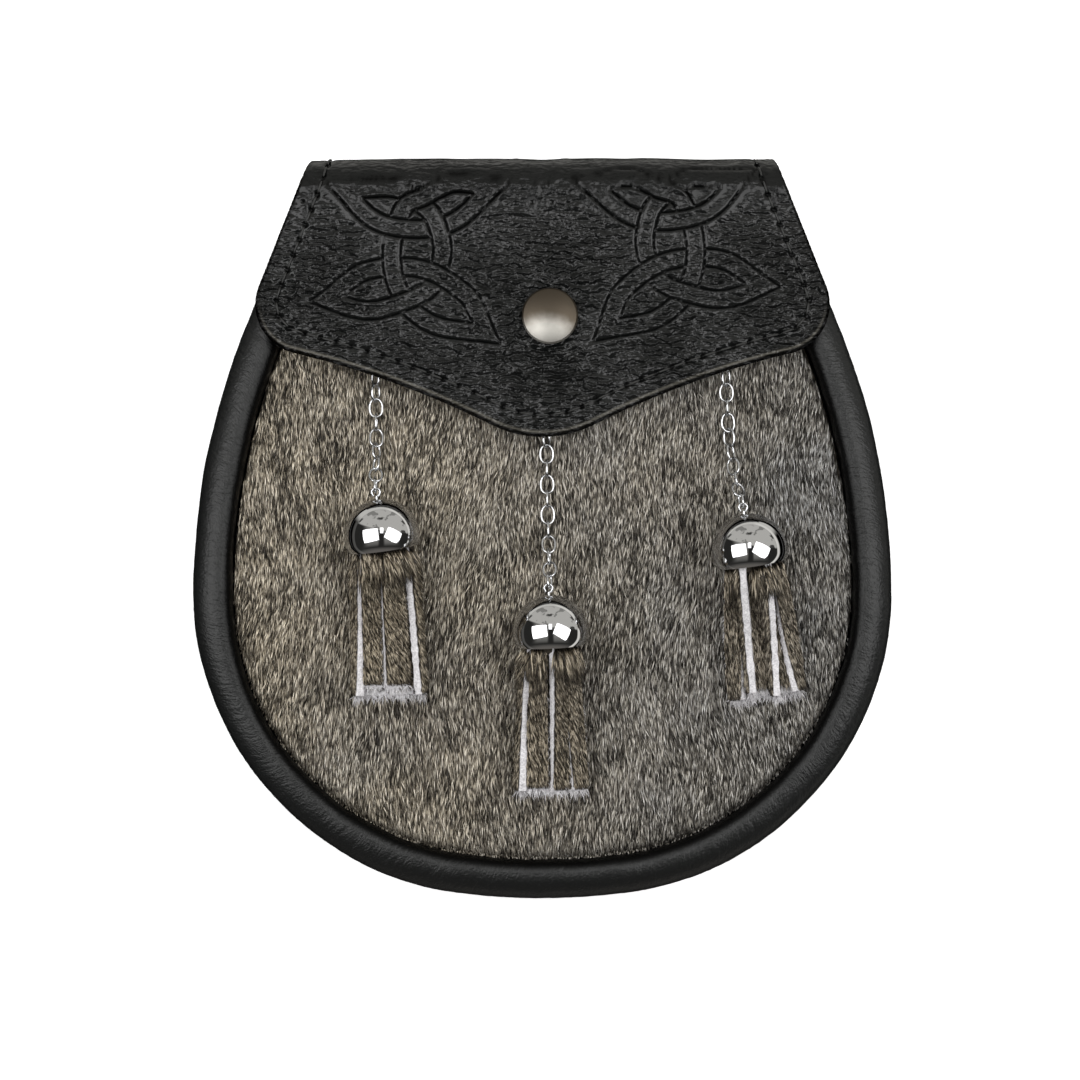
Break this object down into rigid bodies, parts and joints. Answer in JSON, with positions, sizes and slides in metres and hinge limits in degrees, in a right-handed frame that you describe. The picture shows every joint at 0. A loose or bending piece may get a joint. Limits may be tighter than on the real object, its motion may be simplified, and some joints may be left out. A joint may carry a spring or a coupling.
{
  "type": "sporran pouch",
  "caption": "Round-bottomed semi-dress sporran pouch with a fur front, padded leather rim, folded flap with a press stud, and tassels on chains.",
  "frame": {"origin": "on the surface that the pouch lies on, under the middle of its outline", "axes": "+Z out of the pouch's front, +Y towards its top edge (the flap's fold), +X to the right seen from the front"},
  "size_m": [0.19, 0.2016, 0.0494],
  "materials": {
    "body_leather": "smooth black leather",
    "rim_leather": "smooth black leather, finely wrinkled over padding",
    "flap_leather": "pebbled black leather with embossed interlace",
    "fur_hide": "short grey-brown hair",
    "tassel_hide": "haired hide strips with pale cut edges",
    "cap_chrome": "polished",
    "chain_steel": "polished, nickel plated",
    "snap_metal": "satin gunmetal"
  },
  "bodies": {
    "root": {"back_panel": "body_leather", "gusset": "body_leather", "belt_loop_left": "body_leather", "belt_loop_right": "body_leather", "rim": "rim_leather", "fur_panel": "fur_hide", "flap": "flap_leather", "snap_cap": "snap_metal", "snap_socket": "snap_metal", "tassel_left": "tassel_hide", "tassel_middle": "tassel_hide", "tassel_right": "tassel_hide", "tassel_cap_left": "cap_chrome", "tassel_cap_middle": "cap_chrome", "tassel_cap_right": "cap_chrome", "tassel_eye_left": "chain_steel", "tassel_eye_middle": "chain_steel", "tassel_eye_right": "chain_steel", "staple_left": "chain_steel", "staple_middle": "chain_steel", "staple_right": "chain_steel", "chain_left_01": "chain_steel", "chain_left_02": "chain_steel", "chain_left_03": "chain_steel", "chain_left_04": "chain_steel", "chain_left_05": "chain_steel", "chain_left_06": "chain_steel", "chain_left_07": "chain_steel", "chain_left_08": "chain_steel", "chain_left_09": "chain_steel", "chain_middle_01": "chain_steel", "chain_middle_02": "chain_steel", "chain_middle_03": "chain_steel", "chain_middle_04": "chain_steel", "chain_middle_05": "chain_steel", "chain_middle_06": "chain_steel", "chain_middle_07": "chain_steel", "chain_middle_08": "chain_steel", "chain_middle_09": "chain_steel", "chain_middle_10": "chain_steel", "chain_middle_11": "chain_steel", "chain_right_01": "chain_steel", "chain_right_02": "chain_steel", "chain_right_03": "chain_steel", "chain_right_04": "chain_steel", "chain_right_05": "chain_steel", "chain_right_06": "chain_steel", "chain_right_07": "chain_steel", "chain_right_08": "chain_steel", "chain_right_09": "chain_steel", "chain_right_10": "chain_steel", "chain_right_11": "chain_steel"}
  },
  "joints": []
}
